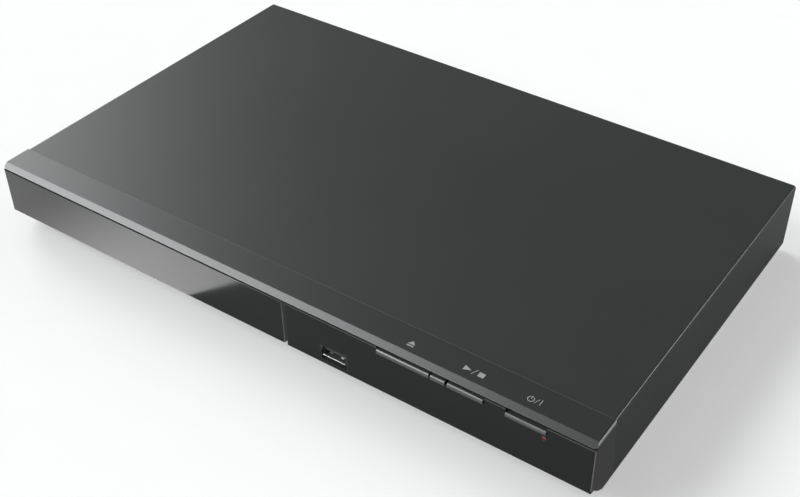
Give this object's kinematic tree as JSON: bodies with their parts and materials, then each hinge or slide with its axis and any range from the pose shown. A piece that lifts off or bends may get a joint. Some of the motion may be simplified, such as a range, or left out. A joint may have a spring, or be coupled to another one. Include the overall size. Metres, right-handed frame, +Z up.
{
  "type": "disc player with motor tray",
  "caption": "Slim box-shaped disc player with a wide drop-free tray door that slides out on a geared loader, bar buttons, a front port and rear phono sockets.",
  "frame": {"origin": "on the surface the player stands on, under the middle of its bounding box", "axes": "+X to the player's right as seen from the front, -Y out of the front face, +Z up"},
  "size_m": [0.325, 0.2108, 0.038],
  "materials": {
    "cover_paint": "fine satin texture paint",
    "plated_sheet": "zinc plated",
    "front_plastic": "polished moulding",
    "tray_plastic": "fine grain",
    "black_plastic": "moulded",
    "button_metal": "satin",
    "led_red": "clear tinted",
    "bright_metal": "bright nickel",
    "white_plastic": "moulded",
    "rubber_black": "soft",
    "screw_steel": "zinc",
    "screw_black": "black oxide",
    "green_board": "solder mask",
    "tan_board": "phenolic",
    "chip_black": "epoxy",
    "capacitor_sleeve": "sleeved can",
    "yellow_plastic": "moulded",
    "red_plastic": "moulded",
    "orange_plastic": "moulded",
    "contact_brass": "plated",
    "core_brown": "ferrite and tape",
    "copper_winding": "varnished wire",
    "fuse_glass": "clear",
    "aluminium_raw": "extruded",
    "ribbon_grey": "flat cable",
    "wire_red": "insulation",
    "motor_can": "drawn can",
    "natural_plastic": "acetal",
    "die_cast": "die cast",
    "lens_glass": "coated lens"
  },
  "bodies": {
    "player": {"top_cover": "cover_paint", "bottom_chassis": "plated_sheet", "front_panel": "front_plastic", "button_trim": "button_metal", "standby_led": "led_red", "usb_shell": "bright_metal", "usb_tongue": "white_plastic", "feet": "black_plastic", "foot_pads": "rubber_black", "cover_screws": "screw_black", "chassis_screws": "screw_steel", "inner_screws": "screw_steel", "front_board": "green_board", "switch_bodies": "black_plastic", "main_board": "green_board", "main_chips": "chip_black", "main_capacitors": "capacitor_sleeve", "board_sockets": "white_plastic", "av_jack_block": "black_plastic", "jack_sleeves": "bright_metal", "video_insert": "yellow_plastic", "left_insert": "white_plastic", "right_insert": "red_plastic", "digital_insert": "orange_plastic", "jack_contacts": "contact_brass", "ac_inlet": "black_plastic", "ac_pins": "bright_metal", "power_board": "tan_board", "power_transformer": "core_brown", "mains_capacitor": "capacitor_sleeve", "mains_choke": "copper_winding", "fuse": "fuse_glass", "power_heatsink": "aluminium_raw", "front_ribbon": "ribbon_grey", "power_lead": "wire_red", "loader_ribbon": "ribbon_grey", "loader_frame": "black_plastic", "loading_motor": "motor_can", "drive_belt": "rubber_black", "clamp_bridge": "black_plastic"},
    "tray": {"disc_tray": "tray_plastic", "tray_door": "front_plastic"},
    "drive_gear": {"drive_gear": "natural_plastic"},
    "pulley_gear": {"pulley_gear": "natural_plastic"},
    "motor_pulley": {"motor_pulley": "natural_plastic"},
    "cam_slide": {"cam_slide": "natural_plastic"},
    "traverse": {"lift_frame": "black_plastic", "traverse_deck": "plated_sheet", "deck_dampers": "rubber_black", "spindle_motor": "motor_can", "guide_rods": "bright_metal", "sled_motor": "motor_can"},
    "turntable": {"turntable": "natural_plastic"},
    "clamper": {"clamper": "natural_plastic"},
    "pickup": {"pickup_carriage": "die_cast", "pickup_lens": "lens_glass"},
    "lead_screw": {"lead_screw": "bright_metal"},
    "eject_button": {"eject_button": "button_metal"},
    "play_button": {"play_button": "button_metal"},
    "power_button": {"power_button": "button_metal"}
  },
  "joints": [
    {"name": "tray_slide", "type": "slide", "parent": "player", "child": "tray", "axis": [0, -1, 0], "range_m": [0, 0.138]},
    {"name": "drive_gear_spin", "type": "hinge", "parent": "player", "child": "drive_gear", "pos_m": [-0.12, -0.0806, 0.0134], "axis": [0, 0, 1], "range_deg": [-5, 800]},
    {"name": "pulley_gear_spin", "type": "hinge", "parent": "player", "child": "pulley_gear", "pos_m": [-0.10022, -0.07417, 0.0134], "axis": [0, 0, 1], "range_deg": [-2650, 10]},
    {"name": "motor_pulley_spin", "type": "hinge", "parent": "player", "child": "motor_pulley", "pos_m": [-0.064, -0.0726, 0.0164], "axis": [0, 0, 1], "range_deg": [-10600, 20]},
    {"name": "traverse_lift", "type": "hinge", "parent": "player", "child": "traverse", "pos_m": [-0.076, 0.0584, 0.014], "axis": [-1, 0, 0], "range_deg": [0, 5.67]},
    {"name": "cam_slide_travel", "type": "slide", "parent": "player", "child": "cam_slide", "axis": [1, 0, 0], "range_m": [0, 0.018]},
    {"name": "turntable_spin", "type": "hinge", "parent": "traverse", "child": "turntable", "pos_m": [-0.076, -0.02924, 0.01615], "axis": [0, -0.0988, 0.9951], "continuous": true},
    {"name": "clamper_spin", "type": "hinge", "parent": "player", "child": "clamper", "pos_m": [-0.076, -0.0286, 0.035], "axis": [0, 0, 1], "continuous": true},
    {"name": "pickup_slide", "type": "slide", "parent": "traverse", "child": "pickup", "axis": [0, 0.9951, 0.0988], "range_m": [0, 0.034]},
    {"name": "lead_screw_spin", "type": "hinge", "parent": "traverse", "child": "lead_screw", "pos_m": [-0.1055, -0.00432, 0.00807], "axis": [0, 0.9951, 0.0988], "range_deg": [-10, 4090]},
    {"name": "eject_press", "type": "slide", "parent": "player", "child": "eject_button", "axis": [0, 1, 0], "range_m": [0, 0.0007], "stiffness_N_per_m": 800, "springref_m": -0.0006},
    {"name": "play_press", "type": "slide", "parent": "player", "child": "play_button", "axis": [0, 1, 0], "range_m": [0, 0.0007], "stiffness_N_per_m": 800, "springref_m": -0.0006},
    {"name": "power_press", "type": "slide", "parent": "player", "child": "power_button", "axis": [0, 1, 0], "range_m": [0, 0.0007], "stiffness_N_per_m": 800, "springref_m": -0.0006}
  ],
  "couplings": [
    {"joint": "drive_gear_spin", "follows": "tray_slide", "rad_per_m": 100},
    {"joint": "pulley_gear_spin", "follows": "tray_slide", "rad_per_m": -333.33},
    {"joint": "motor_pulley_spin", "follows": "tray_slide", "rad_per_m": -1333.3},
    {"joint": "cam_slide_travel", "follows": "traverse_lift", "m_per_rad": 0.18189},
    {"joint": "lead_screw_spin", "follows": "pickup_slide", "rad_per_m": 2094.4}
  ]
}
